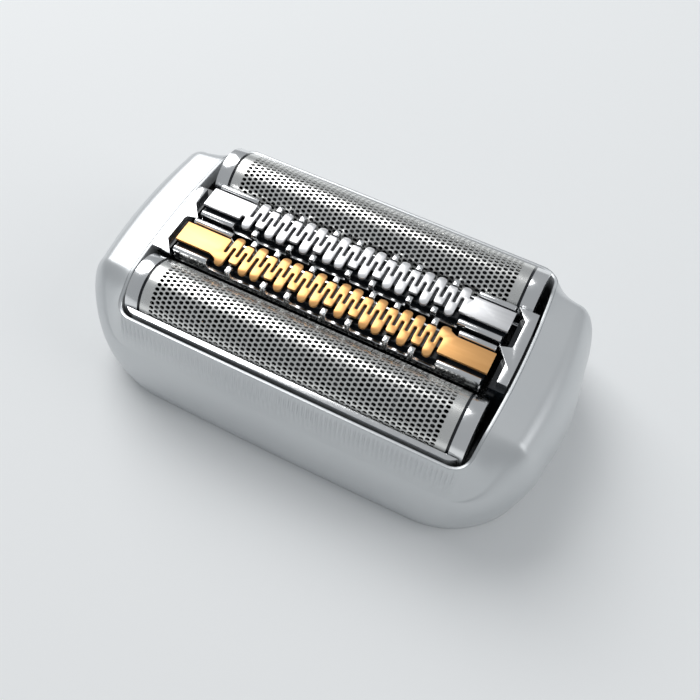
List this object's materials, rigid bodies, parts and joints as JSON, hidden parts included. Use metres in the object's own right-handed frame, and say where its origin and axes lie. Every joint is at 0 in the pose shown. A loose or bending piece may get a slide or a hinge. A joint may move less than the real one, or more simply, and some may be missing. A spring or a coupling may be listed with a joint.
{
  "type": "foil shaver head cassette",
  "caption": "Replacement cutting head of a foil shaver: satin housing, arched pierced foils, silver and gold comb trimmers, inner cutters and float springs.",
  "frame": {"origin": "middle of the base rim, in the plane that the head stands on", "axes": "+X along the foils, -Y towards the ribbed front wall beside the gold trimmer, +Z out of the cutting face"},
  "size_m": [0.072, 0.0404, 0.0211],
  "materials": {
    "satin_silver": "satin",
    "black_plastic": "gloss",
    "bright_chrome": "polished",
    "foil_steel": "bright",
    "blade_steel": "ground",
    "silver_steel": "satin",
    "gold_coating": "satin",
    "spring_steel": "drawn wire"
  },
  "bodies": {
    "housing": {"outer_shell": "satin_silver", "inner_frame": "black_plastic", "end_bracket_left": "bright_chrome", "end_bracket_right": "bright_chrome", "foil_spring_front_left": "spring_steel", "foil_spring_front_right": "spring_steel", "foil_spring_rear_left": "spring_steel", "foil_spring_rear_right": "spring_steel", "trimmer_spring_silver": "spring_steel", "trimmer_spring_gold": "spring_steel"},
    "front_foil_unit": {"foil_frame_front": "bright_chrome", "foil_holder_front": "black_plastic", "foil_front": "foil_steel"},
    "rear_foil_unit": {"foil_frame_rear": "bright_chrome", "foil_holder_rear": "black_plastic", "foil_rear": "foil_steel"},
    "front_cutter": {"cutter_carrier_front": "black_plastic", "cutter_blades_front": "blade_steel"},
    "rear_cutter": {"cutter_carrier_rear": "black_plastic", "cutter_blades_rear": "blade_steel"},
    "silver_trimmer_unit": {"trimmer_comb_silver": "silver_steel", "trimmer_carrier_silver": "black_plastic", "guard_rail_silver_outer": "bright_chrome", "guard_rail_silver_inner": "bright_chrome"},
    "gold_trimmer_unit": {"trimmer_comb_gold": "gold_coating", "trimmer_carrier_gold": "black_plastic", "guard_rail_gold_inner": "bright_chrome", "guard_rail_gold_outer": "bright_chrome"},
    "silver_blade": {"trimmer_blade_silver": "blade_steel"},
    "gold_blade": {"trimmer_blade_gold": "blade_steel"}
  },
  "joints": [
    {"name": "front_foil_float", "type": "slide", "parent": "housing", "child": "front_foil_unit", "axis": [0, 0, 1], "range_m": [-0.0012, 0], "stiffness_N_per_m": 400, "springref_m": 0.0005, "deforming": ["foil_spring_front_left", "foil_spring_front_right"]},
    {"name": "rear_foil_float", "type": "slide", "parent": "housing", "child": "rear_foil_unit", "axis": [0, 0, 1], "range_m": [-0.0012, 0], "stiffness_N_per_m": 400, "springref_m": 0.0005, "deforming": ["foil_spring_rear_left", "foil_spring_rear_right"]},
    {"name": "silver_trimmer_float", "type": "slide", "parent": "housing", "child": "silver_trimmer_unit", "axis": [0, 0, 1], "range_m": [-0.001, 0], "stiffness_N_per_m": 300, "springref_m": 0.0005, "deforming": ["trimmer_spring_silver"]},
    {"name": "gold_trimmer_float", "type": "slide", "parent": "housing", "child": "gold_trimmer_unit", "axis": [0, 0, 1], "range_m": [-0.001, 0], "stiffness_N_per_m": 300, "springref_m": 0.0005, "deforming": ["trimmer_spring_gold"]},
    {"name": "front_cutter_stroke", "type": "slide", "parent": "front_foil_unit", "child": "front_cutter", "axis": [1, 0, 0], "range_m": [-0.001, 0.001]},
    {"name": "rear_cutter_stroke", "type": "slide", "parent": "rear_foil_unit", "child": "rear_cutter", "axis": [1, 0, 0], "range_m": [-0.001, 0.001]},
    {"name": "silver_blade_stroke", "type": "slide", "parent": "silver_trimmer_unit", "child": "silver_blade", "axis": [1, 0, 0], "range_m": [-0.001, 0.001]},
    {"name": "gold_blade_stroke", "type": "slide", "parent": "gold_trimmer_unit", "child": "gold_blade", "axis": [1, 0, 0], "range_m": [-0.001, 0.001]}
  ]
}
